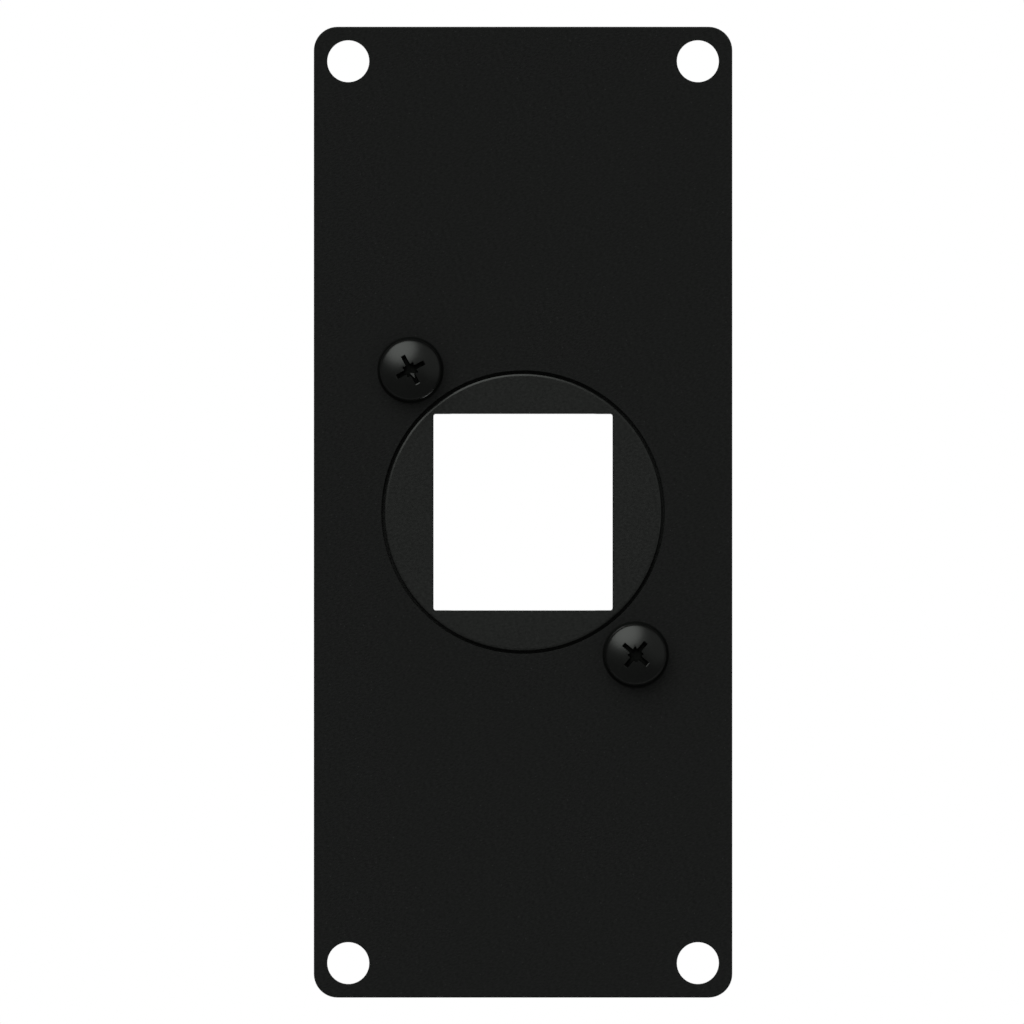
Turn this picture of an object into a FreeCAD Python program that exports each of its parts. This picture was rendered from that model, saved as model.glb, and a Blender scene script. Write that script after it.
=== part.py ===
import FreeCAD, Part
import math
import os
import Sketcher

# Keystone faceplate: a coated steel panel with a moulded keystone adapter fixed behind its round hole.
# Frame: +X is to the right as seen from the front, +Z is up, and the front faces -Y.
# The origin is the middle of the four corner holes, on the front face of the panel.
# A depth is a distance behind that face, along +Y.

Vector = FreeCAD.Vector

# Driving dimensions, in millimetres and degrees
SIZES = {
    "panel_width": 35.3,
    "panel_height": 81.9,
    "panel_thickness": 2.0,
    "panel_corner_radius": 2.0,
    "panel_edge_round": 0.15,
    "panel_deburr": 0.12,
    "corner_hole_diameter": 3.55,
    "corner_hole_inset_across": 2.9,
    "corner_hole_inset_up": 2.9,
    "screw_spacing_across": 19.0,
    "screw_spacing_up": 24.0,
    "screw_hole_clearance": 0.15,
    "boss_corner_wall": 0.413,
    "boss_clearance": 0.3,
    "boss_edge_across": 0.2,
    "boss_edge_depth": 0.08,
    "flange_margin": 3.5,
    "flange_thickness": 2.5,
    "flange_corner_radius": 3.5,
    "flange_edge_chamfer": 0.25,
    "window_width": 15.15,
    "window_height": 16.6,
    "window_corner_radius": 0.2,
    "window_edge_chamfer": 0.08,
    "frame_depth": 5.5,
    "frame_side_wall": 1.6,
    "frame_end_wall": 1.4,
    "frame_corner_radius": 1.2,
    "frame_edge_chamfer": 0.2,
    "pocket_width": 12.2,
    "pocket_rise": 2.0,
    "pocket_corner_radius": 1.5,
    "catch_thickness": 2.0,
    "catch_setback": 0.25,
    "catch_lead_in": 0.5,
    "latch_pocket_depth": 3.8,
    "hook_pocket_depth": 1.5,
    "screw_diameter": 2.95,
    "screw_length": 8.0,
    "screw_point": 0.35,
    "head_diameter": 5.6,
    "head_height": 2.4,
    "head_dome_radius": 5.0,
    "head_corner_radius": 0.5,
    "head_side_draft": 7.0,
    "recess_span": 2.6,
    "recess_wing_width": 0.4,
    "recess_core_diameter": 1.12,
    "recess_depth": 1.6,
    "recess_taper": 0.8,
    "recess_notch_span": 1.3,
    "recess_notch_width": 0.2,
    "recess_mark_span": 2.0,
    "recess_mark_width": 0.12,
    "recess_mark_depth": 0.06,
    "nut_across_flats": 5.5,
    "nut_height": 2.4,
    "nut_clearance": 0.15,
    "thread_clearance": 0.025,
    "nut_bore_chamfer": 0.25,
    "upper_left_recess_turn": 28.0,
    "lower_right_recess_turn": 50.0,
    "upper_left_nut_turn": 12.0,
    "lower_right_nut_turn": 41.0,
}

doc = FreeCAD.newDocument("keystone_faceplate")
sheet = doc.addObject("Spreadsheet::Sheet", "sizes")
for row, (alias, size) in enumerate(SIZES.items(), start=1):
    sheet.set(f"A{row}", alias)
    sheet.set(f"B{row}", str(size))
    sheet.setAlias(f"B{row}", alias)
doc.recompute()

# Sizes that follow from the driving ones, as expressions
HALF_ACROSS = "sizes.screw_spacing_across / 2"
HALF_UP = "sizes.screw_spacing_up / 2"
SCREW_HOLE_RADIUS = "sizes.screw_diameter / 2 + sizes.screw_hole_clearance"
CORNER_HOLE_ACROSS = "(sizes.panel_width / 2 - sizes.corner_hole_inset_across)"
CORNER_HOLE_UP = "(sizes.panel_height / 2 - sizes.corner_hole_inset_up)"
WINDOW_REACH = "sqrt(sizes.window_width ^ 2 + sizes.window_height ^ 2) / 2"
BOSS_RADIUS = f"({WINDOW_REACH} + sizes.boss_corner_wall)"
ADAPTER_HOLE_RADIUS = f"({BOSS_RADIUS} + sizes.boss_clearance)"
FLANGE_BACK = "sizes.panel_thickness + sizes.flange_thickness"
ADAPTER_BACK = f"{FLANGE_BACK} + sizes.frame_depth"
CATCH_FRONT = f"{ADAPTER_BACK} - sizes.catch_thickness"
NUT_CORNER_RADIUS = "sizes.nut_across_flats / 2 / cos(30deg)"


def value(expression):
    """Works out an expression in the spreadsheet's sizes."""
    result = sheet.evalExpression(expression)
    return float(getattr(result, "Value", result))


# Sketches

def origin_plane(body, role):
    """Finds one of the body's own origin planes."""
    return next(plane for plane in body.Origin.OriginFeatures if plane.Role == role)


def front_sketch(body, name, depth="0"):
    """Adds a sketch parallel to the front face, at a depth behind it."""
    sketch = body.newObject("Sketcher::SketchObject", name)
    sketch.AttachmentSupport = [(origin_plane(body, "XZ_Plane"), "")]
    sketch.MapMode = "FlatFace"
    sketch.setExpression("AttachmentOffset.Base.z", f"-({depth})")
    return sketch


def profile_sketch(body, name):
    """Adds a sketch for turned forms: its x is the radius, its y is the depth."""
    sketch = body.newObject("Sketcher::SketchObject", name)
    sketch.AttachmentSupport = [(origin_plane(body, "XY_Plane"), "")]
    sketch.MapMode = "FlatFace"
    return sketch


def bind(sketch, name, expression, kind, *where):
    """Adds a dimension to the sketch and binds it to an expression."""
    size = value(expression)
    if kind == "Angle":
        size = math.radians(size)
    index = sketch.addConstraint(Sketcher.Constraint(kind, *where, size))
    sketch.renameConstraint(index, name)
    sketch.setExpression(f"Constraints.{name}", expression)


def place_point(sketch, name, geometry, point, across, up):
    """Dimensions a point of the sketch from the origin."""
    bind(sketch, f"{name}_across", across, "DistanceX", -1, 1, geometry, point)
    bind(sketch, f"{name}_up", up, "DistanceY", -1, 1, geometry, point)


def add_circle(sketch, name, radius, across="0", up="0"):
    """Draws a circle with its centre and radius bound."""
    centre = Vector(value(across), value(up), 0)
    circle = sketch.addGeometry(Part.Circle(centre, Vector(0, 0, 1), value(radius)))
    bind(sketch, f"{name}_radius", radius, "Radius", circle)
    place_point(sketch, name, circle, 3, across, up)


def add_rounded_rectangle(sketch, left, right, bottom, top, radius):
    """Draws a rectangle with rounded corners between four bound sides."""
    x0, x1, y0, y1, r = (value(side) for side in (left, right, bottom, top, radius))
    quarter = math.pi / 2
    corners = [
        (x1 - r, y0 + r, -1), (x1 - r, y1 - r, 0), (x0 + r, y1 - r, 1), (x0 + r, y0 + r, 2),
    ]
    starts = [(x0 + r, y0), (x1, y0 + r), (x1 - r, y1), (x0, y1 - r)]
    ends = [(x1 - r, y0), (x1, y1 - r), (x0 + r, y1), (x0, y0 + r)]
    sides = []
    arcs = []
    for start, end, (x, y, turns) in zip(starts, ends, corners):
        line = Part.LineSegment(Vector(*start, 0), Vector(*end, 0))
        circle = Part.Circle(Vector(x, y, 0), Vector(0, 0, 1), r)
        arc = Part.ArcOfCircle(circle, turns * quarter, (turns + 1) * quarter)
        sides.append(sketch.addGeometry(line))
        arcs.append(sketch.addGeometry(arc))
    for index, side in enumerate(sides):
        following = sides[(index + 1) % 4]
        sketch.addConstraint(Sketcher.Constraint("Tangent", side, 2, arcs[index], 1))
        sketch.addConstraint(Sketcher.Constraint("Tangent", arcs[index], 2, following, 1))
        direction = "Vertical" if index % 2 else "Horizontal"
        sketch.addConstraint(Sketcher.Constraint(direction, side))
    for arc in arcs[1:]:
        sketch.addConstraint(Sketcher.Constraint("Equal", arcs[0], arc))
    bind(sketch, "corner_radius", radius, "Radius", arcs[0])
    bind(sketch, "bottom_side", bottom, "DistanceY", -1, 1, sides[0], 1)
    bind(sketch, "right_side", right, "DistanceX", -1, 1, sides[1], 1)
    bind(sketch, "top_side", top, "DistanceY", -1, 1, sides[2], 1)
    bind(sketch, "left_side", left, "DistanceX", -1, 1, sides[3], 1)


def add_centred_rectangle(sketch, width, height, radius):
    """Draws a rounded rectangle centred on the origin."""
    half_width = f"({width}) / 2"
    half_height = f"({height}) / 2"
    add_rounded_rectangle(sketch, f"-{half_width}", half_width, f"-{half_height}", half_height, radius)


def add_polygon(sketch, points):
    """Draws a closed outline through points whose coordinates are bound expressions."""
    corners = [Vector(value(across), value(up), 0) for across, up in points]
    lines = []
    for start, end in zip(corners, corners[1:] + corners[:1]):
        lines.append(sketch.addGeometry(Part.LineSegment(start, end)))
    for line, following in zip(lines, lines[1:] + lines[:1]):
        sketch.addConstraint(Sketcher.Constraint("Coincident", line, 2, following, 1))
    for index, (across, up) in enumerate(points):
        place_point(sketch, f"corner{index}", lines[index], 1, across, up)


def add_cross(sketch, span, width):
    """Draws a cross of two bars about the origin."""
    tip = f"({span}) / 2"
    side = f"({width}) / 2"
    quarter = [(tip, f"-{side}"), (tip, side), (side, side)]
    points = []
    for turn in range(4):
        points += quarter
        quarter = [(f"-({up})", across) for across, up in quarter]
    add_polygon(sketch, points)


# Features

def new_body(label):
    """Starts a sub-part."""
    body = doc.addObject("PartDesign::Body", label)
    body.Label = label
    return body


def check_change(body, feature, sign):
    """Stops if a feature leaves the volume as it was, or changes it the wrong way."""
    before = feature.BaseFeature.Shape.Volume if feature.BaseFeature else 0.0
    doc.recompute()
    if (feature.Shape.Volume - before) * sign <= 0:
        raise RuntimeError(f"{body.Label}: {feature.Label} changes nothing")
    return feature


def pad(body, name, sketch, length):
    """Adds material behind a sketch."""
    feature = body.newObject("PartDesign::Pad", name)
    feature.Profile = (sketch, [""])
    feature.Reversed = True
    feature.setExpression("Length", length)
    return check_change(body, feature, 1)


def pocket(body, name, sketch, length=None):
    """Cuts away what lies behind a sketch, right through where no length is given."""
    feature = body.newObject("PartDesign::Pocket", name)
    feature.Profile = (sketch, [""])
    if length:
        feature.setExpression("Length", length)
    else:
        feature.Type = "ThroughAll"
    return check_change(body, feature, -1)


def turn(body, kind, name, sketch):
    """Revolves a profile about the depth axis, to add material or to cut a groove."""
    feature = body.newObject(f"PartDesign::{kind}", name)
    feature.Profile = (sketch, [""])
    feature.ReferenceAxis = (sketch, ["V_Axis"])
    feature.Angle = 360
    return check_change(body, feature, 1 if kind == "Revolution" else -1)


def lies_at(edge, *depths):
    """Tells whether a whole edge lies at one of the depths."""
    return any(
        all(abs(point.y - value(depth)) < 1e-4 for point in edge.discretize(7)) for depth in depths
    )


def is_circle(edge, radius=None):
    """Tells whether an edge is a full circle, of a given radius if one is given."""
    if not edge.isClosed():
        return False
    return radius is None or abs(edge.Curve.Radius - value(radius)) < 1e-4


def soften(body, name, kind, size, test):
    """Rounds or chamfers the edges of the body's last feature that pass a test."""
    base = body.Tip
    names = [f"Edge{number}" for number, edge in enumerate(base.Shape.Edges, start=1) if test(edge)]
    if not names:
        raise RuntimeError(f"{body.Label}: {name} finds no edge")
    feature = body.newObject(f"PartDesign::{kind}", name)
    feature.Base = (base, names)
    feature.setExpression("Radius" if kind == "Fillet" else "Size", size)
    return check_change(body, feature, -1)


def screw_places():
    """Gives the two screw axes, upper left and lower right, as expressions."""
    return {
        "upper_left": (f"-{HALF_ACROSS}", HALF_UP),
        "lower_right": (HALF_ACROSS, f"-{HALF_UP}"),
    }


# Front panel

def make_front_panel():
    """Punches the panel from sheet: its front edge is rolled over, the edges at its back are deburred."""
    body = new_body("front_panel")
    outline = front_sketch(body, "panel_outline")
    add_centred_rectangle(outline, "sizes.panel_width", "sizes.panel_height", "sizes.panel_corner_radius")
    pad(body, "panel_sheet", outline, "sizes.panel_thickness")
    soften(body, "rolled_edge", "Fillet", "sizes.panel_edge_round", lambda edge: lies_at(edge, "0"))

    corner_holes = front_sketch(body, "corner_hole_circles")
    for side, x_sign in (("left", "-"), ("right", "")):
        for end, z_sign in (("lower", "-"), ("upper", "")):
            add_circle(
                corner_holes, f"{end}_{side}", "sizes.corner_hole_diameter / 2",
                f"{x_sign}{CORNER_HOLE_ACROSS}", f"{z_sign}{CORNER_HOLE_UP}",
            )
    pocket(body, "corner_holes", corner_holes)

    adapter_hole = front_sketch(body, "adapter_hole_circle")
    add_circle(adapter_hole, "adapter_hole", ADAPTER_HOLE_RADIUS)
    pocket(body, "adapter_hole", adapter_hole)

    screw_holes = front_sketch(body, "panel_screw_hole_circles")
    for place, (across, up) in screw_places().items():
        add_circle(screw_holes, place, SCREW_HOLE_RADIUS, across, up)
    pocket(body, "panel_screw_holes", screw_holes)
    soften(
        body, "deburred_edges", "Chamfer", "sizes.panel_deburr",
        lambda edge: lies_at(edge, "sizes.panel_thickness"),
    )
    return body


# Keystone adapter

def cut_retaining_pocket(body, side, sign, depth):
    """Cuts a slot for a jack's tooth in one end of the window, and the pocket before its catch."""
    half_width = "sizes.pocket_width / 2"
    slot_end = "sizes.window_height / 2 + sizes.catch_setback"
    pocket_end = "sizes.window_height / 2 + sizes.pocket_rise"
    front = f"{CATCH_FRONT} - {depth}"
    for name, end, radius, length in (
        ("slot", slot_end, "sizes.window_corner_radius", f"{depth} + sizes.catch_thickness"),
        ("pocket", pocket_end, "sizes.pocket_corner_radius", depth),
    ):
        outline = front_sketch(body, f"{side}_{name}_outline", front)
        bottom, top = ("0", end) if sign > 0 else (f"-({end})", "0")
        add_rounded_rectangle(outline, f"-{half_width}", half_width, bottom, top, radius)
        pocket(body, f"{side}_{name}", outline, length)


def make_keystone_adapter():
    """Moulds the boss that fills the panel's hole, the flange behind the panel and the jack's frame."""
    body = new_body("keystone_adapter")
    boss = front_sketch(body, "boss_circle")
    add_circle(boss, "boss", BOSS_RADIUS)
    pad(body, "boss", boss, "sizes.panel_thickness")
    boss_edge = soften(body, "boss_edge", "Chamfer", "sizes.boss_edge_depth", lambda edge: lies_at(edge, "0"))
    boss_edge.ChamferType = "Two distances"
    boss_edge.setExpression("Size2", "sizes.boss_edge_across")
    check_change(body, boss_edge, -1)

    flange = front_sketch(body, "flange_outline", "sizes.panel_thickness")
    flange_width = "sizes.screw_spacing_across + 2 * sizes.flange_margin"
    flange_height = "sizes.screw_spacing_up + 2 * sizes.flange_margin"
    add_centred_rectangle(flange, flange_width, flange_height, "sizes.flange_corner_radius")
    pad(body, "flange", flange, "sizes.flange_thickness")
    soften(
        body, "flange_edge", "Chamfer", "sizes.flange_edge_chamfer",
        lambda edge: lies_at(edge, FLANGE_BACK),
    )

    frame = front_sketch(body, "frame_outline", FLANGE_BACK)
    frame_width = "sizes.window_width + 2 * sizes.frame_side_wall"
    frame_height = "sizes.window_height + 2 * (sizes.pocket_rise + sizes.frame_end_wall)"
    add_centred_rectangle(frame, frame_width, frame_height, "sizes.frame_corner_radius")
    pad(body, "frame", frame, "sizes.frame_depth")
    soften(
        body, "frame_edge", "Chamfer", "sizes.frame_edge_chamfer",
        lambda edge: lies_at(edge, ADAPTER_BACK),
    )
    nut_room = front_sketch(body, "nut_room_circles", FLANGE_BACK)
    for place, (across, up) in screw_places().items():
        add_circle(nut_room, place, f"{NUT_CORNER_RADIUS} + sizes.nut_clearance", across, up)
    pocket(body, "nut_room", nut_room)

    window = front_sketch(body, "window_outline")
    add_centred_rectangle(window, "sizes.window_width", "sizes.window_height", "sizes.window_corner_radius")
    pocket(body, "window", window)
    soften(
        body, "window_edge", "Chamfer", "sizes.window_edge_chamfer",
        lambda edge: lies_at(edge, "0") and not is_circle(edge),
    )
    cut_retaining_pocket(body, "latch", 1, "sizes.latch_pocket_depth")
    cut_retaining_pocket(body, "hook", -1, "sizes.hook_pocket_depth")
    lip = value("sizes.window_height / 2 + sizes.catch_setback")
    soften(
        body, "catch_lead_ins", "Chamfer", "sizes.catch_lead_in",
        lambda edge: lies_at(edge, ADAPTER_BACK) and abs(abs(edge.CenterOfMass.z) - lip) < 1e-4,
    )

    screw_holes = front_sketch(body, "flange_screw_hole_circles", "sizes.panel_thickness")
    for place, (across, up) in screw_places().items():
        add_circle(screw_holes, place, SCREW_HOLE_RADIUS, across, up)
    pocket(body, "flange_screw_holes", screw_holes)
    return body


# Fasteners

def place_fastener(body, place, depth, turn_size):
    """Sets a fastener on its axis and turns it about that axis."""
    across, up = screw_places()[place]
    body.Placement = FreeCAD.Placement(Vector(0, 0, 0), FreeCAD.Rotation(Vector(0, -1, 0), 0))
    body.setExpression("Placement.Base.x", across)
    body.setExpression("Placement.Base.y", depth)
    body.setExpression("Placement.Base.z", up)
    body.setExpression("Placement.Rotation.Angle", f"sizes.{turn_size} * 1deg")


def draw_screw_profile(sketch):
    """Draws half of the screw's section: domed head, soft shoulder, drafted side and shank."""
    top = -value("sizes.head_height")
    edge = value("sizes.head_diameter / 2")
    dome = value("sizes.head_dome_radius")
    shoulder = value("sizes.head_corner_radius")
    draft = math.radians(value("sizes.head_side_draft"))
    shank = value("sizes.screw_diameter / 2")
    point = value("sizes.screw_point")
    length = value("sizes.screw_length")

    dome_centre = Vector(0, top + dome, 0)
    up_the_side = Vector(-math.sin(draft), -math.cos(draft), 0)
    off_the_side = Vector(math.cos(draft), -math.sin(draft), 0)
    foot = Vector(edge, 0, 0) - off_the_side * shoulder - dome_centre
    along = foot.dot(up_the_side)
    climb = ((dome - shoulder) ** 2 - foot.dot(foot) + along ** 2) ** 0.5 - along
    outward = (foot + up_the_side * climb).normalize()
    shoulder_centre = dome_centre + outward * (dome - shoulder)
    meeting = dome_centre + outward * dome
    middle_of_dome = dome_centre + (Vector(0, -1, 0) + outward).normalize() * dome
    middle_of_shoulder = shoulder_centre + (off_the_side + outward).normalize() * shoulder
    side_top = shoulder_centre + off_the_side * shoulder
    outline = [
        Part.Arc(Vector(0, top, 0), middle_of_dome, meeting),
        Part.Arc(meeting, middle_of_shoulder, side_top),
        Part.LineSegment(side_top, Vector(edge, 0, 0)),
        Part.LineSegment(Vector(edge, 0, 0), Vector(shank, 0, 0)),
        Part.LineSegment(Vector(shank, 0, 0), Vector(shank, length - point, 0)),
        Part.LineSegment(Vector(shank, length - point, 0), Vector(shank - point, length, 0)),
        Part.LineSegment(Vector(shank - point, length, 0), Vector(0, length, 0)),
        Part.LineSegment(Vector(0, length, 0), Vector(0, top, 0)),
    ]
    for piece in outline:
        sketch.addGeometry(piece)
    dome_arc, shoulder_arc, side, seat, shank_side, chamfer, end, axis = range(8)

    def relate(kind, *where):
        sketch.addConstraint(Sketcher.Constraint(kind, *where))

    relate("Coincident", axis, 2, dome_arc, 1)
    relate("PointOnObject", dome_arc, 3, -2)
    relate("Tangent", dome_arc, 2, shoulder_arc, 1)
    relate("Tangent", shoulder_arc, 2, side, 1)
    for first, second in ((side, seat), (seat, shank_side), (shank_side, chamfer), (chamfer, end), (end, axis)):
        relate("Coincident", first, 2, second, 1)
    relate("PointOnObject", seat, 1, -1)
    relate("Horizontal", seat)
    relate("Vertical", shank_side)
    relate("Horizontal", end)
    relate("PointOnObject", end, 2, -2)
    relate("Vertical", axis)
    bind(sketch, "dome_radius", "sizes.head_dome_radius", "Radius", dome_arc)
    bind(sketch, "shoulder_radius", "sizes.head_corner_radius", "Radius", shoulder_arc)
    bind(sketch, "head_top", "-sizes.head_height", "DistanceY", -1, 1, dome_arc, 1)
    bind(sketch, "head_side", "sizes.head_diameter / 2", "DistanceX", -1, 1, side, 2)
    bind(sketch, "side_draft", "90deg - sizes.head_side_draft * 1deg", "Angle", side)
    bind(sketch, "shank_radius", "sizes.screw_diameter / 2", "DistanceX", -1, 1, shank_side, 1)
    bind(sketch, "chamfer_across", "sizes.screw_point", "DistanceX", chamfer, 2, chamfer, 1)
    bind(sketch, "chamfer_along", "sizes.screw_point", "DistanceY", chamfer, 1, chamfer, 2)
    bind(sketch, "screw_end", "sizes.screw_length", "DistanceY", -1, 1, end, 1)


def cut_recess(body):
    """Sinks the driver's cross into the head: tapered wings, a core, corner notches and shallow marks."""
    above = "-sizes.head_height"
    floor = f"{above} + sizes.recess_depth"
    wings_above = front_sketch(body, "wings_above", above)
    add_cross(wings_above, "sizes.recess_span", "sizes.recess_wing_width")
    wings_below = front_sketch(body, "wings_below", floor)
    narrowing = "sizes.recess_taper"
    add_cross(wings_below, f"sizes.recess_span * {narrowing}", f"sizes.recess_wing_width * {narrowing}")
    wings = body.newObject("PartDesign::SubtractiveLoft", "wings")
    wings.Profile = (wings_above, [""])
    wings.Sections = [(wings_below, [""])]
    wings.Ruled = True
    check_change(body, wings, -1)

    core_profile = profile_sketch(body, "core_profile")
    core_radius = "sizes.recess_core_diameter / 2"
    add_polygon(core_profile, [
        ("0", above),
        (core_radius, above),
        (f"{core_radius} * {narrowing}", floor),
        ("0", f"{floor} + {core_radius} * {narrowing} / 2"),
    ])
    turn(body, "Groove", "core", core_profile)

    for name, depth in (("notch", "sizes.recess_depth"), ("mark", "sizes.recess_mark_depth")):
        bars = front_sketch(body, f"{name}_bars", above)
        bars.AttachmentOffset = FreeCAD.Placement(Vector(0, 0, 0), FreeCAD.Rotation(Vector(0, 0, 1), 45))
        add_cross(bars, f"sizes.recess_{name}_span", f"sizes.recess_{name}_width")
        pocket(body, name, bars, depth)


def make_screw(place):
    """Turns a pan head screw with a cross recess, its head's seat at the panel's front face."""
    body = new_body(f"screw_{place}")
    profile = profile_sketch(body, "screw_profile")
    draw_screw_profile(profile)
    turn(body, "Revolution", "turned_blank", profile)
    cut_recess(body)
    place_fastener(body, place, "0", f"{place}_recess_turn")
    return body


def make_nut(place):
    """Makes a hexagon nut, its corners chamfered at both faces, seated on the flange's back."""
    body = new_body(f"nut_{place}")
    hexagon = front_sketch(body, "hexagon")
    corner = NUT_CORNER_RADIUS
    points = [(f"{corner} * cos({turns * 60}deg)", f"{corner} * sin({turns * 60}deg)") for turns in range(6)]
    add_polygon(hexagon, points)
    pad(body, "blank", hexagon, "sizes.nut_height")

    far = "sizes.nut_across_flats"
    face_radius = "sizes.nut_across_flats * 0.475"
    slope = f"({far} - {face_radius}) * tan(30deg)"
    for name, face, sign in (("near", "0", "+"), ("far", "sizes.nut_height", "-")):
        profile = profile_sketch(body, f"{name}_chamfer_profile")
        add_polygon(profile, [(face_radius, face), (far, face), (far, f"{face} {sign} {slope}")])
        turn(body, "Groove", f"{name}_corner_chamfer", profile)

    bore = front_sketch(body, "bore_circle")
    bore_radius = "sizes.screw_diameter / 2 + sizes.thread_clearance"
    add_circle(bore, "bore", bore_radius)
    pocket(body, "bore", bore)
    soften(
        body, "bore_chamfers", "Chamfer", "sizes.nut_bore_chamfer",
        lambda edge: is_circle(edge, bore_radius) and lies_at(edge, "0", "sizes.nut_height"),
    )
    place_fastener(body, place, FLANGE_BACK, f"{place}_nut_turn")
    return body


def check_document():
    """Stops if any object of the document failed to build."""
    for item in doc.Objects:
        if "Invalid" in item.State or "Error" in item.State:
            raise RuntimeError(f"{item.Label} failed: {item.State}")


def write_parts(bodies):
    """Checks each sub-part's shape and writes it under its own name."""
    for body in bodies:
        if body.Shape.isNull() or not body.Shape.isValid() or len(body.Shape.Solids) != 1:
            raise RuntimeError(f"{body.Label} isn't one sound solid")
    os.makedirs("parts", exist_ok=True)
    for body in bodies:
        body.Shape.exportStep(f"parts/{body.Label}.step")


sub_parts = [make_front_panel(), make_keystone_adapter()]
for axis_name in screw_places():
    sub_parts.append(make_screw(axis_name))
    sub_parts.append(make_nut(axis_name))
doc.recompute()
check_document()
write_parts(sub_parts)
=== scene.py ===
"""Keystone faceplate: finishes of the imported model, its threaded screws and its studio."""
import math

import bmesh
import bpy
from bpy.props import FloatProperty, FloatVectorProperty, IntProperty, PointerProperty
from mathutils import Matrix, Vector


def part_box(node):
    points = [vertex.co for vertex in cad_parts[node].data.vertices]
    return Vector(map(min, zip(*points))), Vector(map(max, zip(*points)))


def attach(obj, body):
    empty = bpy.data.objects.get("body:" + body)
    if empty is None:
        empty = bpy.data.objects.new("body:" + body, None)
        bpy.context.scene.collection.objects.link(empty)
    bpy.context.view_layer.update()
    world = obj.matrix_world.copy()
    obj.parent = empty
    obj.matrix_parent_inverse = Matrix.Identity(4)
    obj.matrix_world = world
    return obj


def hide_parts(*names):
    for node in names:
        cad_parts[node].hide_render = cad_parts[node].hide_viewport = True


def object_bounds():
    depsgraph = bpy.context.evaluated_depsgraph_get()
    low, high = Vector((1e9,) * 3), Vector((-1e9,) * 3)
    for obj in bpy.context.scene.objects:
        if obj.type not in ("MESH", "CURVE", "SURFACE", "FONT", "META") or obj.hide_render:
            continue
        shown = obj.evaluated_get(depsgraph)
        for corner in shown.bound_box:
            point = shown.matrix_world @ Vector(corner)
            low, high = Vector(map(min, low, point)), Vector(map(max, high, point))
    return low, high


bl_info = {
    "name": "Keystone Faceplate",
    "version": (1, 0, 0),
    "blender": (4, 5, 0),
    "location": "View3D > Sidebar > Faceplate",
    "description": "Finishes a keystone faceplate, builds its screws and sets up the studio",
    "category": "Object",
}

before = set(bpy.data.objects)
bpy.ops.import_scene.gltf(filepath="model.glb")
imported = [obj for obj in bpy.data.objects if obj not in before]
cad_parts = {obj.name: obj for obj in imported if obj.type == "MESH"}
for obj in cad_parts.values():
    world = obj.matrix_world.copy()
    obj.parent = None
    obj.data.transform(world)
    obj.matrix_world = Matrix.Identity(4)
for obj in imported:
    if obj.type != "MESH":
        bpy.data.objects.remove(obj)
CAD_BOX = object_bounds()

MM = 0.001

# Each screw with the turn of its recess in degrees, and the screw whose recess has a burr.
SCREWS = {"screw_upper_left": 28.0, "screw_lower_right": 50.0}
BURRED_SCREW = "screw_upper_left"
NUTS = ("nut_upper_left", "nut_lower_right")


# Settings

class FinishSettings(bpy.types.PropertyGroup):
    """Colours and grain of the panel, the adapter and the fasteners."""

    coat_colour: FloatVectorProperty(
        name="Coat colour", description="Colour of the panel's powder coat",
        default=(0.0085, 0.0089, 0.0086), size=3, min=0, max=1, subtype="COLOR",
    )
    coat_grain: FloatProperty(
        name="Coat grain", description="Width of the powder coat's grains",
        default=0.06 * MM, precision=6, unit="LENGTH", subtype="DISTANCE",
    )
    speck_spacing: FloatProperty(
        name="Speck spacing",
        description="How far apart the light specks lie in the depth of the powder coat",
        default=0.72 * MM, precision=5, unit="LENGTH", subtype="DISTANCE",
    )
    speck_radius: FloatProperty(
        name="Speck radius", description="Radius of the light specks in the powder coat",
        default=0.05 * MM, precision=6, unit="LENGTH", subtype="DISTANCE",
    )
    plastic_colour: FloatVectorProperty(
        name="Plastic colour", description="Colour of the moulded adapter",
        default=(0.0111, 0.0118, 0.0111), size=3, min=0, max=1, subtype="COLOR",
    )
    plastic_grain: FloatProperty(
        name="Plastic grain", description="Width of the grain that the mould leaves on the adapter",
        default=0.09 * MM, precision=6, unit="LENGTH", subtype="DISTANCE",
    )
    steel_colour: FloatVectorProperty(
        name="Steel colour", description="Colour of the blackened screws and nuts",
        default=(0.0020, 0.0022, 0.0020), size=3, min=0, max=1, subtype="COLOR",
    )
    steel_grain: FloatProperty(
        name="Steel grain", description="Width of the mottling on the blackened steel",
        default=0.12 * MM, precision=6, unit="LENGTH", subtype="DISTANCE",
    )
    edge_softness: FloatProperty(
        name="Edge softness", description="Width of the rounding on sharp edges",
        default=0.05 * MM, precision=6, unit="LENGTH", subtype="DISTANCE",
    )


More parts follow.
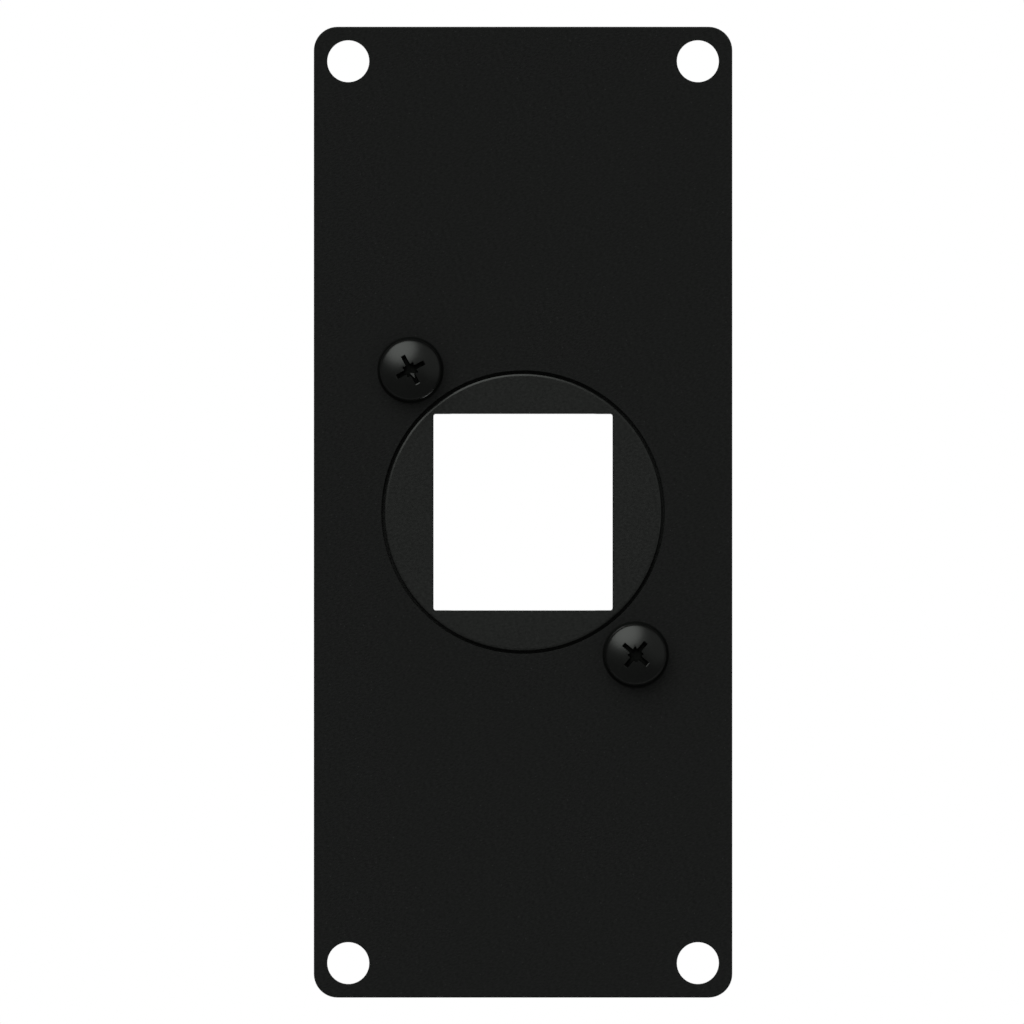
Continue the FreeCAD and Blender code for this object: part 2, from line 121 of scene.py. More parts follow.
class ScrewSettings(bpy.types.PropertyGroup):
    """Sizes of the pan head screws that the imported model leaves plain."""

    dome_radius: FloatProperty(
        name="Dome radius", description="Radius of the head's crown",
        default=5.0 * MM, precision=5, unit="LENGTH", subtype="DISTANCE",
    )
    shoulder_radius: FloatProperty(
        name="Shoulder radius", description="Radius between the crown and the head's side",
        default=0.5 * MM, precision=5, unit="LENGTH", subtype="DISTANCE",
    )
    side_draft: FloatProperty(
        name="Side draft", description="How far the head's side leans inwards towards the crown",
        default=math.radians(7), subtype="ANGLE",
    )
    head_height: FloatProperty(
        name="Head height", description="From the seat to the top of the crown",
        default=2.4 * MM, precision=5, unit="LENGTH", subtype="DISTANCE",
    )
    thread_radius: FloatProperty(
        name="Thread radius", description="Radius over the thread's crests",
        default=1.475 * MM, precision=6, unit="LENGTH", subtype="DISTANCE",
    )
    thread_pitch: FloatProperty(
        name="Thread pitch", description="Distance between two crests",
        default=0.5 * MM, precision=5, unit="LENGTH", subtype="DISTANCE",
    )
    point_chamfer: FloatProperty(
        name="Point chamfer", description="Chamfer at the end of the thread",
        default=0.35 * MM, precision=5, unit="LENGTH", subtype="DISTANCE",
    )
    recess_span: FloatProperty(
        name="Recess span", description="From tip to tip of the driver's cross",
        default=2.6 * MM, precision=5, unit="LENGTH", subtype="DISTANCE",
    )
    recess_wing: FloatProperty(
        name="Recess wing", description="Width of a wing of the cross",
        default=0.4 * MM, precision=5, unit="LENGTH", subtype="DISTANCE",
    )
    recess_core: FloatProperty(
        name="Recess core", description="Diameter of the well in the middle of the cross",
        default=1.12 * MM, precision=5, unit="LENGTH", subtype="DISTANCE",
    )
    recess_depth: FloatProperty(
        name="Recess depth", description="From the top of the crown to the cross's floor",
        default=1.6 * MM, precision=5, unit="LENGTH", subtype="DISTANCE",
    )
    recess_taper: FloatProperty(
        name="Recess taper",
        description="Size of the cross at its floor, as a share of its size at the top",
        default=0.8, min=0.1, max=1, subtype="FACTOR",
    )
    recess_lip: FloatProperty(
        name="Recess lip", description="Width of the sloping lip at the tip of each wing",
        default=0.065 * MM, precision=6, unit="LENGTH", subtype="DISTANCE",
    )
    lip_tilt: FloatProperty(
        name="Lip tilt", description="How far the lip leans from the head's flat",
        default=math.radians(31), min=math.radians(5), max=math.radians(80), subtype="ANGLE",
    )
    burr_depth: FloatProperty(
        name="Burr depth", description="From the top of the crown to the burr in the recess",
        default=0.7 * MM, precision=5, unit="LENGTH", subtype="DISTANCE",
    )
    burr_tilt: FloatProperty(
        name="Burr tilt", description="How far the burr's polished face leans back from the front",
        default=math.radians(9), min=0, max=math.radians(60), subtype="ANGLE",
    )
    burr_facing: FloatProperty(
        name="Burr facing",
        description="Where the burr's polished face leans, counted from the right",
        default=math.radians(116), subtype="ANGLE",
    )
    facets: IntProperty(
        name="Facets", description="Sides of the turned forms", default=96, min=24, max=256,
    )


class StudioSettings(bpy.types.PropertyGroup):
    """Camera, lights and floor."""

    camera_distance: FloatProperty(
        name="Camera distance", description="From the camera to the panel's front face",
        default=3.0, min=0.3, max=3.5, unit="LENGTH", subtype="DISTANCE",
    )
    picture_width: FloatProperty(
        name="Picture width", description="Width of the picture at the panel's front face",
        default=86.38 * MM, precision=5, unit="LENGTH", subtype="DISTANCE",
    )
    aim_across: FloatProperty(
        name="Aim across", description="How far right of the panel's middle the camera aims",
        default=-0.933 * MM, precision=6, unit="LENGTH", subtype="DISTANCE",
    )
    aim_up: FloatProperty(
        name="Aim up", description="How far above the panel's middle the camera aims",
        default=0.015 * MM, precision=6, unit="LENGTH", subtype="DISTANCE",
    )
    key_strength: FloatProperty(
        name="Key strength", description="Strength of the large soft light above on the left",
        default=1.1, min=0,
    )
    fill_strength: FloatProperty(
        name="Fill strength", description="Strength of the soft light on the right",
        default=0.1, min=0,
    )
    rear_strength: FloatProperty(
        name="Rear strength", description="Strength of the soft light behind",
        default=1.2, min=0,
    )
    ceiling_strength: FloatProperty(
        name="Ceiling strength",
        description="Strength of the plain light above and behind, unseen in reflections",
        default=1.02, min=0,
    )
    front_strength: FloatProperty(
        name="Front strength",
        description="Strength of the plain light from straight in front, unseen in reflections",
        default=0.84, min=0,
    )
    ambient: FloatProperty(
        name="Ambient", description="Brightness of the light that comes from all round",
        default=0.38, min=0, max=1, subtype="FACTOR",
    )
    mirrored_room: FloatProperty(
        name="Mirrored room",
        description="Brightness of the room in reflections, away from the backdrop",
        default=0.064, min=0, max=1, subtype="FACTOR",
    )
    floor_drop: FloatProperty(
        name="Floor drop", description="From the panel's lower edge down to the floor",
        default=19.0 * MM, precision=4, unit="LENGTH", subtype="DISTANCE",
    )


# Materials

# Blender's noise lies mostly between these two values.
NOISE_RANGE = (0.3, 0.7)
# Width of the blots in the gloss, in widths of the grain.
BROAD_GRAIN = 25
# The black finishes mirror the lights a little greener than they are.
GLOSS_TINT = (0.95, 1.0, 0.95, 1.0)
# A speck's brightness in brightnesses of the coat, and where it fades, in its radii.
SPECK_LIFT = 2.1
SPECK_FADE = (0.8, 1.2)
# Brightness of the painted shade finish, a rough copy of the plating that barely reflects, in
# brightnesses of the polished plating.
PAINTED_SHADE_LIFT = 4

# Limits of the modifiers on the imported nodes.
WELD_REACH = 0.001 * MM
FLAT_ANGLE = math.radians(0.5)
SHARP_ANGLE = math.radians(30)


def new_material(name):
    """Starts a node material and returns it with its shader."""
    material = bpy.data.materials.new(name)
    material.use_nodes = True
    return material, material.node_tree.nodes["Principled BSDF"]


def add_node(tree, kind, **values):
    """Adds a node and sets its inputs, named with underscores for spaces."""
    node = tree.nodes.new(kind)
    for key, value in values.items():
        node.inputs[key.replace("_", " ")].default_value = value
    return node


def scaled(colour, share):
    """Makes a colour brighter or darker."""
    return [share * channel for channel in colour]


def grey(level):
    """Makes a grey of four channels."""
    return (level, level, level, 1)


def add_grain(tree, width, detail=2.0, stretch=1.0, lean=0.0):
    """Adds noise fixed to the object, its blots one width high and longer across by the stretch."""
    place = tree.nodes.new("ShaderNodeTexCoord")
    turned_place = add_node(tree, "ShaderNodeMapping", Rotation=(0, math.radians(lean), 0))
    flattened = add_node(tree, "ShaderNodeMapping", Scale=(1 / stretch, 1, 1))
    noise = add_node(tree, "ShaderNodeTexNoise", Scale=0.5 / width, Detail=detail, Roughness=0.6)
    tree.links.new(place.outputs["Object"], turned_place.inputs["Vector"])
    tree.links.new(turned_place.outputs["Vector"], flattened.inputs["Vector"])
    tree.links.new(flattened.outputs["Vector"], noise.inputs["Vector"])
    return noise.outputs["Fac"]


def tint_by(tree, grain, colour, spread):
    """Runs a colour from darker to lighter with the grain."""
    ramp = tree.nodes.new("ShaderNodeValToRGB")
    for stop, place, share in zip(ramp.color_ramp.elements, NOISE_RANGE, (1 - spread, 1 + spread)):
        stop.position = place
        stop.color = (*scaled(colour, share), 1)
    tree.links.new(grain, ramp.inputs["Fac"])
    return ramp.outputs["Color"]


def map_range(tree, value, source, target):
    """Maps a value from one range to another, and holds it there."""
    mapped = add_node(
        tree, "ShaderNodeMapRange",
        From_Min=source[0], From_Max=source[1], To_Min=target[0], To_Max=target[1],
    )
    tree.links.new(value, mapped.inputs["Value"])
    return mapped.outputs["Result"]


def raise_by(tree, grain, height, strength):
    """Turns the grain into relief."""
    bump = add_node(tree, "ShaderNodeBump", Strength=strength, Distance=height)
    tree.links.new(grain, bump.inputs["Height"])
    return bump.outputs["Normal"]


def mix_colours(tree, share, otherwise, chosen):
    """Mixes two colours, each a socket or a tuple of four channels, by a share from 0 to 1."""
    pick = tree.nodes.new("ShaderNodeMix")
    pick.data_type = "RGBA"
    tree.links.new(share, pick.inputs["Factor"])
    for name, colour in (("A", otherwise), ("B", chosen)):
        socket = next(item for item in pick.inputs if item.name == name and item.type == "RGBA")
        if isinstance(colour, tuple):
            socket.default_value = colour
        else:
            tree.links.new(colour, socket)
    return next(item for item in pick.outputs if item.type == "RGBA")


def sprinkle(material, colour, spacing, radius):
    """Scatters specks of another colour over the colour that a material already has."""
    tree = material.node_tree
    base = tree.nodes["Principled BSDF"].inputs["Base Color"]
    ground = base.links[0].from_socket
    place = tree.nodes.new("ShaderNodeTexCoord")
    cells = add_node(tree, "ShaderNodeTexVoronoi", Scale=1 / spacing)
    tree.links.new(place.outputs["Object"], cells.inputs["Vector"])
    reach = radius / spacing
    fade = [share * reach for share in SPECK_FADE]
    near = map_range(tree, cells.outputs["Distance"], fade, (1.0, 0.0))
    tree.links.new(mix_colours(tree, near, ground, (*colour, 1)), base)


def grained_material(
    name, colour, grain_width, spread, roughness, relief, specular, stretch=1.0, lean=12,
):
    """Makes a finish with a grain in its colour, its gloss and its relief.

    The spread is the colour's, the roughness runs between two values, the relief is a height
    and a strength, and the grain leans by an angle in degrees.
    """
    material, shader = new_material(name)
    tree = material.node_tree
    fine = add_grain(tree, grain_width, stretch=stretch, lean=lean)
    broad = add_grain(tree, grain_width * BROAD_GRAIN, detail=4)
    tree.links.new(tint_by(tree, fine, colour, spread), shader.inputs["Base Color"])
    tree.links.new(map_range(tree, broad, NOISE_RANGE, roughness), shader.inputs["Roughness"])
    tree.links.new(raise_by(tree, fine, *relief), shader.inputs["Normal"])
    shader.inputs["Specular IOR Level"].default_value = specular
    shader.inputs["Specular Tint"].default_value = GLOSS_TINT
    return material


def powder_coat(finish):
    """The panel's matt black powder coat, with rare light specks."""
    coat = grained_material(
        "powder_coat", finish.coat_colour, finish.coat_grain, spread=0.31,
        roughness=(0.5, 0.56), relief=(0.02 * MM, 0.35), specular=0.12, stretch=2.6, lean=20,
    )
    speck_colour = scaled(finish.coat_colour, SPECK_LIFT)
    sprinkle(coat, speck_colour, finish.speck_spacing, finish.speck_radius)
    return coat


def moulded_plastic(finish):
    """The adapter's satin black plastic with the mould's spark grain."""
    return grained_material(
        "moulded_plastic", finish.plastic_colour, finish.plastic_grain, spread=0.36,
        roughness=(0.29, 0.33), relief=(0.008 * MM, 0.3), specular=0.5, stretch=1.6,
    )


def blackened_steel(finish):
    """The screws' and nuts' black plating."""
    return grained_material(
        "blackened_steel", finish.steel_colour, finish.steel_grain, spread=0.3,
        roughness=(0.3, 0.34), relief=(0.005 * MM, 0.3), specular=0.71,
    )


def dull_plating(finish):
    """A rough copy of the plating that barely reflects, put on the head's side and inside the
    recess as painted shade.
    """
    return grained_material(
        "dull_plating", scaled(finish.steel_colour, PAINTED_SHADE_LIFT), finish.steel_grain, spread=0.2,
        roughness=(0.62, 0.7), relief=(0.004 * MM, 0.2), specular=0.02,
    )


def give_material(piece, material):
    """Leaves a piece with one material."""
    piece.data.materials.clear()
    piece.data.materials.append(material)


def soften_edges(node, width):
    """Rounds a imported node's sharp edges with modifiers, and lights its flats as flat."""
    weld = node.modifiers.new("weld", "WELD")
    weld.merge_threshold = WELD_REACH
    flats = node.modifiers.new("flats", "DECIMATE")
    flats.decimate_type = "DISSOLVE"
    flats.angle_limit = FLAT_ANGLE
    edges = node.modifiers.new("edges", "BEVEL")
    edges.width = width
    edges.segments = 2
    edges.limit_method = "ANGLE"
    edges.angle_limit = SHARP_ANGLE
    edges.miter_outer = "MITER_ARC"
    shading = node.modifiers.new("shading", "WEIGHTED_NORMAL")
    shading.keep_sharp = False
    for face in node.data.polygons:
        face.use_smooth = True


# Screws

# Steps along the arcs of the head's section, and facets of the recess's well.
CROWN_STEPS = 20
SHOULDER_STEPS = 14
WELL_FACETS = 40

# How far the cutters of the recess stand out in front of the crown.
CUTTER_RISE = 0.2 * MM
# How far the well goes behind the wings' floor, and the notches end in front of it.
FLOOR_STEP = 0.1 * MM
# How much wider than the well the notches are.
NOTCH_REACH = 0.18 * MM
# The shallow marks between the wings.
MARK_SPAN = 2.0 * MM
MARK_WIDTH = 0.12 * MM
MARK_DEPTH = 0.06 * MM

# The burr's corners in mm from the screw's axis, and how far its foot is sunk in the floor.
BURR_CORNERS = ((-0.06, 0, -0.27), (0.31, 0, -0.29), (0.37, 0, -0.71))
BURR_ROOT = 0.2 * MM

# Depth of the thread in pitches, and turns of the sweep before the thread's start.
THREAD_DEPTH = 0.614
LEAD_TURNS = 2
# A vertex this near to a trimming plane lies on it.
PLANE_REACH = 1e-7
# How far the threaded rod and the envelope that trims it reach into the head.
ROD_ROOT = 0.3 * MM
ENVELOPE_ROOT = 0.5 * MM

# What tells the head's faces that get the painted shade: they lie inside the wings' tips and under
# the crown, or they look sideways.
# The burr's polished face, which keeps the polished plating, is told by the way it looks.
TIP_MARGIN = 0.01 * MM
UNDER_CROWN = 0.04 * MM
SIDEWAYS = 0.3
SAME_WAY = 0.9995

# Edges of a screw that are sharper than this are shaded sharp.
SCREW_SHARP_ANGLE = math.radians(35)
# The larger screw's volume may be this much of the smaller one's, with the burr in it.
VOLUME_RATIO = 1.002


def mesh_object(name, outline_mesh):
    """Makes an object from a bmesh and frees it."""
    mesh = bpy.data.meshes.new(name)
    bmesh.ops.recalc_face_normals(outline_mesh, faces=outline_mesh.faces)
    outline_mesh.to_mesh(mesh)
    outline_mesh.free()
    piece = bpy.data.objects.new(name, mesh)
    bpy.context.collection.objects.link(piece)
    return piece


def turned(name, profile, facets):
    """Revolves (radius, depth) points about the Y axis into a closed solid."""
    form = bmesh.new()
    rings = []
    for radius, depth in profile:
        if radius == 0:
            rings.append([form.verts.new((0, depth, 0))])
            continue
        angles = (math.tau * step / facets for step in range(facets))
        rings.append([
            form.verts.new((radius * math.cos(angle), depth, radius * math.sin(angle)))
            for angle in angles
        ])
    for ring, following in zip(rings, rings[1:]):
        for step in range(facets):
            corners = [
                ring[step % len(ring)], ring[(step + 1) % len(ring)],
                following[(step + 1) % len(following)], following[step % len(following)],
            ]
            form.faces.new(list(dict.fromkeys(corners)))
    return mesh_object(name, form)


def cross_solid(name, sections, turn):
    """Makes a solid cross through sections from front to back, each (depth, span, width)."""
    form = bmesh.new()
    levels = []
    for depth, span, width in sections:
        tip, side = span / 2, width / 2
        corners = [(tip, -side), (tip, side), (side, side)]
        ring = []
        for quarter in range(4):
            rotation = Matrix.Rotation(turn + quarter * math.pi / 2, 2)
            ring += [rotation @ Vector(corner) for corner in corners]
        levels.append([form.verts.new((point.x, depth, point.y)) for point in ring])
    sides = len(levels[0])
    for near, far in zip(levels, levels[1:]):
        for step in range(sides):
            following = (step + 1) % sides
            form.faces.new((near[step], near[following], far[following], far[step]))
    form.faces.new(levels[0])
    form.faces.new(levels[-1])
    return mesh_object(name, form)


def combine(piece, tool, operation):
    """Joins, cuts or trims a piece with a tool solid, and removes the tool."""
    step = piece.modifiers.new(operation, "BOOLEAN")
    step.operation = operation
    step.solver = "EXACT"
    step.object = tool
    settle(piece)
    bpy.data.objects.remove(tool)


def volume(piece):
    """Measures a closed piece."""
    form = bmesh.new()
    form.from_mesh(piece.data)
    if any(not edge.is_manifold for edge in form.edges):
        raise RuntimeError(f"{piece.name} isn't closed")
    amount = abs(form.calc_volume())
    form.free()
    return amount


def settle(piece):
    """Turns a piece's modifiers into its mesh."""
    graph = bpy.context.evaluated_depsgraph_get()
    made = bpy.data.meshes.new_from_object(piece.evaluated_get(graph))
    piece.modifiers.clear()
    piece.data = made
    if not made.polygons:
        raise RuntimeError(f"{piece.name} came out empty")


def arc_points(centre, radius, start, end, count):
    """Points along an arc in the (radius, depth) plane, angles measured from straight forward."""
    points = []
    for step in range(count + 1):
        angle = start + (end - start) * step / count
        points.append((centre[0] + radius * math.sin(angle), centre[1] - radius * math.cos(angle)))
    return points


def head_profile(size, edge):
    """Section of the head: crown, shoulder, drafted side and seat."""
    top = -size.head_height
    crown_centre = Vector((0, top + size.dome_radius))
    up_the_side = Vector((-math.sin(size.side_draft), -math.cos(size.side_draft)))
    off_the_side = Vector((math.cos(size.side_draft), -math.sin(size.side_draft)))
    foot = Vector((edge, 0)) - off_the_side * size.shoulder_radius - crown_centre
    reach = size.dome_radius - size.shoulder_radius
    along = foot.dot(up_the_side)
    climb = math.sqrt(reach ** 2 - foot.dot(foot) + along ** 2) - along
    shoulder_centre = crown_centre + foot + up_the_side * climb
    crown_end = math.asin(shoulder_centre.x / reach)
    crown = arc_points(crown_centre, size.dome_radius, 0, crown_end, CROWN_STEPS)
    shoulder_end = math.pi / 2 - size.side_draft
    shoulder = arc_points(
        shoulder_centre, size.shoulder_radius, crown_end, shoulder_end, SHOULDER_STEPS,
    )
    return [(0.0, top)] + crown[1:] + shoulder[1:] + [(edge, 0.0), (0.0, 0.0)]


def cut_recess(head, size, turn):
    """Sinks the driver's cross with its well, its corner notches and its shallow marks."""
    top = -size.head_height
    above = top - CUTTER_RISE
    floor = top + size.recess_depth
    taper = size.recess_taper
    span, width = size.recess_span, size.recess_wing

    dome_fall = size.dome_radius - math.sqrt(size.dome_radius ** 2 - (span / 2) ** 2)
    dome_slope = (span / 2) / (size.dome_radius - dome_fall)
    lip_slope = math.tan(size.lip_tilt)
    lip_depth = top + dome_fall + size.recess_lip * (dome_slope + lip_slope)
    flare = (lip_depth - above) / lip_slope
    wings = [
        (above, span + 2 * flare, width),
        (lip_depth, span, width),
        (floor, span * taper, width * taper),
    ]
    combine(head, cross_solid("wings", wings, turn), "DIFFERENCE")

    well = size.recess_core / 2
    well_floor = floor + FLOOR_STEP
    well_profile = [
        (0.0, above), (well, above),
        (well * taper, well_floor), (0.0, well_floor + well * taper / 2),
    ]
    combine(head, turned("well", well_profile, WELL_FACETS), "DIFFERENCE")

    notches = (size.recess_core + NOTCH_REACH, width / 2, floor - FLOOR_STEP)
    marks = (MARK_SPAN, MARK_WIDTH, top + MARK_DEPTH)
    for name, (bar_span, bar_width, bottom) in (("notches", notches), ("marks", marks)):
        bars = [(above, bar_span, bar_width), (bottom, bar_span, bar_width)]
        combine(head, cross_solid(name, bars, turn + math.pi / 4), "DIFFERENCE")


def burr_normal(size):
    """Direction that the burr's polished face looks in."""
    lean = math.sin(size.burr_tilt)
    across, up = lean * math.cos(size.burr_facing), lean * math.sin(size.burr_facing)
    return Vector((across, -math.cos(size.burr_tilt), up))


def raise_burr(head, size):
    """Raises the sliver of metal that a slipping driver has pushed up in the recess."""
    corners = [Vector(corner) * MM for corner in BURR_CORNERS]
    middle = sum(corners, Vector()) / 3
    normal = burr_normal(size)
    foot = -size.head_height + size.recess_depth + BURR_ROOT
    form = bmesh.new()
    face_ring, foot_ring = [], []
    for corner in corners:
        depth = size.burr_depth - size.head_height - (corner - middle).dot(normal) / normal.y
        face_ring.append(form.verts.new((corner.x, depth, corner.z)))
        foot_ring.append(form.verts.new((corner.x, foot, corner.z)))
    sides = len(corners)
    for step in range(sides):
        following = (step + 1) % sides
        form.faces.new((
            face_ring[step], face_ring[following], foot_ring[following], foot_ring[step],
        ))
    form.faces.new(face_ring)
    form.faces.new(foot_ring)
    combine(head, mesh_object("burr", form), "UNION")


def threaded_rod(size, start, end, facets):
    """Sweeps the thread's section along its helix and trims both ends flat."""
    pitch = size.thread_pitch
    crest = size.thread_radius
    root = crest - THREAD_DEPTH * pitch
    section = [(0.0, crest), (pitch / 8, crest), (pitch * 7 / 16, root), (pitch * 11 / 16, root)]
    turns = math.ceil((end - start) / pitch) + LEAD_TURNS + 1
    form = bmesh.new()
    rows = []
    for turn in range(turns):
        for offset, radius in section:
            row = []
            for step in range(facets):
                angle = math.tau * step / facets
                depth = start + pitch * (turn - LEAD_TURNS + step / facets) + offset
                across, up = radius * math.cos(angle), radius * math.sin(angle)
                row.append(form.verts.new((across, depth, up)))
            rows.append(row)
    per_turn = len(section)
    for index in range(len(rows) - per_turn - 1):
        for step in range(facets):
            last = step == facets - 1
            near = rows[index + per_turn][0] if last else rows[index][step + 1]
            far = rows[index + per_turn + 1][0] if last else rows[index + 1][step + 1]
            form.faces.new((rows[index][step], near, far, rows[index + 1][step]))
    form.verts.ensure_lookup_table()
    for vertex in [vertex for vertex in form.verts if not vertex.link_faces]:
        form.verts.remove(vertex)
    for depth, outward in ((start, -1), (end, 1)):
        bmesh.ops.bisect_plane(
            form, geom=form.verts[:] + form.edges[:] + form.faces[:],
            plane_co=(0, depth, 0), plane_no=(0, outward, 0), clear_outer=True,
        )
        rim = [
            edge for edge in form.edges
            if edge.is_boundary
            and all(abs(vertex.co.y - depth) < PLANE_REACH for vertex in edge.verts)
        ]
        bmesh.ops.contextual_create(form, geom=rim)
    return mesh_object("thread", form)


def paint_shade_in_hollows(head, size, material):
    """Paints shade on the head's side and the recess's walls with the dark, barely reflecting copy
    of the plating.
    """
    head.data.materials.append(material)
    crown_centre = size.dome_radius - size.head_height
    tips = size.recess_span / 2
    polished_way = burr_normal(size)
    for face in head.data.polygons:
        across = math.hypot(face.center.x, face.center.z)
        under = size.dome_radius - math.hypot(across, face.center.y - crown_centre)
        recess = across < tips - TIP_MARGIN and under > UNDER_CROWN
        side = across > tips and abs(face.normal.y) < SIDEWAYS
        burr = face.normal.dot(polished_way) > SAME_WAY
        # Faces on the head's side and in the recess get the painted shade, all but the burr's
        # polished face.
        painted_shade = face.center.y < 0 and (recess and not burr or side)
        face.material_index = 1 if painted_shade else 0


def build_screw(name, turn, size, material, painted_shade):
    """Builds one pan head screw with its recess and thread in place of the plain one."""
    low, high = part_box(name)
    edge = (high.x - low.x) / 2
    head = turned(f"{name}_threaded", head_profile(size, edge), size.facets)
    cut_recess(head, size, math.radians(turn))
    if name == BURRED_SCREW:
        raise_burr(head, size)

    rod = threaded_rod(size, -ROD_ROOT, high.y, size.facets)
    point = size.thread_radius - size.point_chamfer
    cone_start = high.y - size.point_chamfer - edge + size.thread_radius
    envelope = [
        (0.0, -ENVELOPE_ROOT), (edge, -ENVELOPE_ROOT), (edge, cone_start),
        (point, high.y), (0.0, high.y),
    ]
    combine(rod, turned("envelope", envelope, size.facets), "INTERSECT")
    combine(head, rod, "UNION")

    head.data.set_sharp_from_angle(angle=SCREW_SHARP_ANGLE)
    give_material(head, material)
    paint_shade_in_hollows(head, size, painted_shade)
    centre = (low + high) / 2
    head.data.transform(Matrix.Translation((centre.x, 0, centre.z)))
    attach(head, "root")
    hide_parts(name)
    return head


# Studio

# Each light with its place and width in degrees, and whether reflections show it. The place
# counts round from the right, and then aside from straight in front.
LIGHTS = (
    ("key", 115, 46, 56, True),
    ("fill", 20, 50, 60, True),
    ("rear", 66, 134, 56, True),
    ("ceiling", 90, 125, 60, False),
    ("front", 100, 11, 10, False),
)
# How far back reflected rays point where the backdrop begins, is white, and ends, from 0
# for straight across to 1 for straight back.
BACKDROP_STOPS = (0.2, 0.35, 0.65, 0.88)

PAPER_COLOUR = (0.84, 0.84, 0.84)
PAPER_FIBRE = 0.6 * MM
# The floor's radius, the part of it that doesn't fade, and how far behind the panel it lies.
FLOOR_RADIUS = 0.3
FLOOR_SOLID = 0.12
FLOOR_BACK = 0.27


def aim_at(thing, target):
    """Turns a light or camera, which looks along its own -Z, towards a point."""
    thing.rotation_euler = (Vector(target) - thing.location).to_track_quat("-Z", "Y").to_euler()


def add_soft_light(name, around, aside, width, mirrored, strength):
    """Adds a soft light that shines from afar on the object."""
    lamp = bpy.data.lights.new(name, "SUN")
    lamp.angle = math.radians(width)
    lamp.energy = strength
    light = bpy.data.objects.new(name, lamp)
    around, aside = math.radians(around), math.radians(aside)
    reach = math.sin(aside)
    light.location = (reach * math.cos(around), -math.cos(aside), reach * math.sin(around))
    aim_at(light, (0, 0, 0))
    light.visible_glossy = mirrored
    bpy.context.collection.objects.link(light)


def light_room(ambient, mirrored_room):
    """Shows white to the camera and a backdrop in reflections, and lights evenly from all round."""
    world = bpy.data.worlds.new("room")
    world.use_nodes = True
    tree = world.node_tree
    rays = tree.nodes.new("ShaderNodeLightPath")
    place = tree.nodes.new("ShaderNodeTexCoord")
    split = tree.nodes.new("ShaderNodeSeparateXYZ")
    tree.links.new(place.outputs["Generated"], split.inputs["Vector"])
    backdrop = tree.nodes.new("ShaderNodeValToRGB")
    backdrop.color_ramp.interpolation = "EASE"
    stops = backdrop.color_ramp.elements
    for depth, brightness in zip(BACKDROP_STOPS, (mirrored_room, 1.0, 1.0, mirrored_room)):
        stops.new(depth).color = grey(brightness)
    stops.remove(stops[-1])
    stops.remove(stops[0])
    tree.links.new(split.outputs["Y"], backdrop.inputs["Fac"])

    glossy = rays.outputs["Is Glossy Ray"]
    seen = mix_colours(tree, glossy, grey(ambient), backdrop.outputs["Color"])
    for ray in ("Is Transmission Ray", "Is Camera Ray"):
        seen = mix_colours(tree, rays.outputs[ray], seen, grey(1.0))
    tree.links.new(seen, tree.nodes["Background"].inputs["Color"])
    bpy.context.scene.world = world


def floor_paper():
    """Matt white paper that fades out towards its edge."""
    material, shader = new_material("floor_paper")
    tree = material.node_tree
    shader.inputs["Roughness"].default_value = 0.9
    shader.inputs["Specular IOR Level"].default_value = 0.1
    fibre = add_grain(tree, PAPER_FIBRE, detail=5)
    tree.links.new(tint_by(tree, fibre, PAPER_COLOUR, spread=0.01), shader.inputs["Base Color"])
    place = tree.nodes.new("ShaderNodeTexCoord")
    distance = tree.nodes.new("ShaderNodeVectorMath")
    distance.operation = "LENGTH"
    tree.links.new(place.outputs["Object"], distance.inputs[0])
    fade = map_range(tree, distance.outputs["Value"], (FLOOR_SOLID, FLOOR_RADIUS), (1.0, 0.0))
    tree.links.new(fade, shader.inputs["Alpha"])
    return material


def lay_floor(drop):
    """Lays a round sheet of paper under and behind the object."""
    form = bmesh.new()
    bmesh.ops.create_circle(form, cap_ends=True, segments=128, radius=FLOOR_RADIUS)
    floor = mesh_object("floor", form)
    floor.location = (0, FLOOR_BACK, CAD_BOX[0].z - drop)
    give_material(floor, floor_paper())


def add_camera(studio):
    """Sets the camera straight in front, with a lens that shows the wanted width."""
    lens = bpy.data.cameras.new("camera")
    lens.sensor_width = 36
    lens.lens = lens.sensor_width * studio.camera_distance / studio.picture_width
    lens.clip_start = 0.1
    lens.clip_end = 20
    camera = bpy.data.objects.new("camera", lens)
    camera.location = (studio.aim_across, -studio.camera_distance, studio.aim_up)
    aim_at(camera, (studio.aim_across, 0, studio.aim_up))
    bpy.context.collection.objects.link(camera)
    bpy.context.scene.camera = camera


# Operators

class FACEPLATE_OT_panel(bpy.types.Operator):
    """Coat the front panel and round its edges"""

    bl_idname = "faceplate.panel"
    bl_label = "Coat Panel"

    def execute(self, context):
        finish = context.scene.faceplate_finish
        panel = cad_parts["front_panel"]
        give_material(panel, powder_coat(finish))
        soften_edges(panel, finish.edge_softness)
        return {"FINISHED"}


class FACEPLATE_OT_adapter(bpy.types.Operator):
    """Give the keystone adapter its plastic and round its edges"""

    bl_idname = "faceplate.adapter"
    bl_label = "Finish Adapter"

    def execute(self, context):
        finish = context.scene.faceplate_finish
        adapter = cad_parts["keystone_adapter"]
        give_material(adapter, moulded_plastic(finish))
        soften_edges(adapter, finish.edge_softness)
        return {"FINISHED"}


class FACEPLATE_OT_screws(bpy.types.Operator):
    """Build the two threaded pan head screws in place of the plain ones"""

    bl_idname = "faceplate.screws"
    bl_label = "Build Screws"

    def execute(self, context):
        finish = context.scene.faceplate_finish
        steel = blackened_steel(finish)
        # A dark copy of the plating that barely reflects, which paints shade on the heads' sides
        # and in the recesses.
        painted_shade = dull_plating(finish)
        sizes = context.scene.faceplate_screws
        volumes = [
            volume(build_screw(name, turn, sizes, steel, painted_shade)) for name, turn in SCREWS.items()
        ]
        if max(volumes) > VOLUME_RATIO * min(volumes):
            raise RuntimeError(f"the screws should be alike, their volumes are {volumes}")
        return {"FINISHED"}


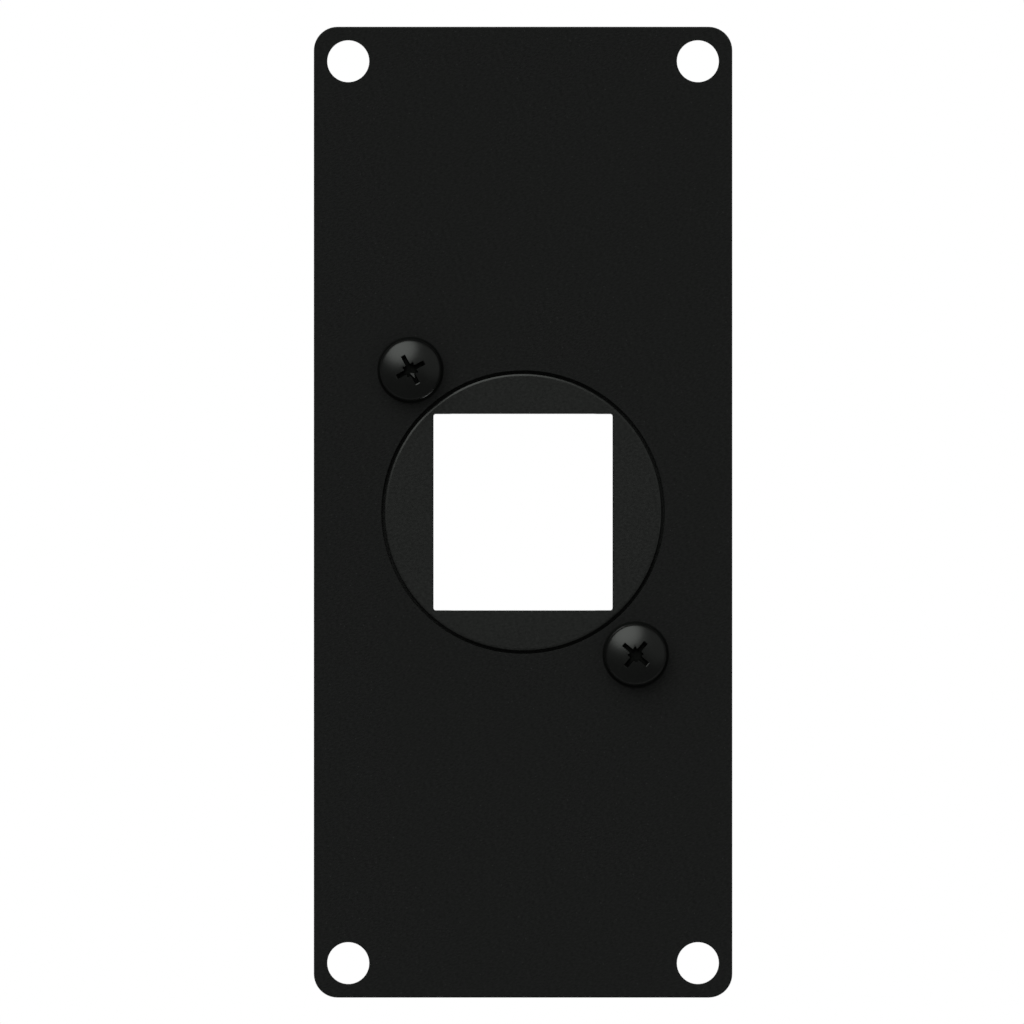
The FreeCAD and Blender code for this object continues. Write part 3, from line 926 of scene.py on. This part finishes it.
class FACEPLATE_OT_nuts(bpy.types.Operator):
    """Blacken the two nuts and round their edges"""

    bl_idname = "faceplate.nuts"
    bl_label = "Finish Nuts"

    def execute(self, context):
        finish = context.scene.faceplate_finish
        steel = blackened_steel(finish)
        for name in NUTS:
            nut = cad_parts[name]
            give_material(nut, steel)
            soften_edges(nut, finish.edge_softness)
        return {"FINISHED"}


class FACEPLATE_OT_studio(bpy.types.Operator):
    """Lay the floor, light the room and set the camera"""

    bl_idname = "faceplate.studio"
    bl_label = "Set Up Studio"

    def execute(self, context):
        studio = context.scene.faceplate_studio
        lay_floor(studio.floor_drop)
        light_room(studio.ambient, studio.mirrored_room)
        for name, *setting in LIGHTS:
            add_soft_light(name, *setting, strength=getattr(studio, f"{name}_strength"))
        add_camera(studio)
        context.scene.view_settings.view_transform = "Standard"
        return {"FINISHED"}


class FACEPLATE_PT_sidebar(bpy.types.Panel):
    """Lists the faceplate's settings and steps"""

    bl_idname = "FACEPLATE_PT_sidebar"
    bl_label = "Keystone Faceplate"
    bl_space_type = "VIEW_3D"
    bl_region_type = "UI"
    bl_category = "Faceplate"

    def draw(self, context):
        layout = self.layout
        scene = context.scene
        for settings in (scene.faceplate_finish, scene.faceplate_screws, scene.faceplate_studio):
            box = layout.box()
            for name in settings.bl_rna.properties.keys():
                if name not in ("rna_type", "name"):
                    box.prop(settings, name)
        for operator in OPERATORS:
            layout.operator(operator.bl_idname)


OPERATORS = (
    FACEPLATE_OT_panel,
    FACEPLATE_OT_adapter,
    FACEPLATE_OT_screws,
    FACEPLATE_OT_nuts,
    FACEPLATE_OT_studio,
)
CLASSES = (FinishSettings, ScrewSettings, StudioSettings, *OPERATORS, FACEPLATE_PT_sidebar)


def register():
    """Registers the classes and hangs the settings on the scene."""
    for item in CLASSES:
        bpy.utils.register_class(item)
    bpy.types.Scene.faceplate_finish = PointerProperty(type=FinishSettings)
    bpy.types.Scene.faceplate_screws = PointerProperty(type=ScrewSettings)
    bpy.types.Scene.faceplate_studio = PointerProperty(type=StudioSettings)


def unregister():
    """Takes the settings and the classes away again."""
    del bpy.types.Scene.faceplate_studio
    del bpy.types.Scene.faceplate_screws
    del bpy.types.Scene.faceplate_finish
    for item in reversed(CLASSES):
        bpy.utils.unregister_class(item)


def main():
    """Runs every step in order."""
    register()
    bpy.ops.faceplate.panel()
    bpy.ops.faceplate.adapter()
    bpy.ops.faceplate.screws()
    bpy.ops.faceplate.nuts()
    bpy.ops.faceplate.studio()


if __name__ == "__main__":
    main()
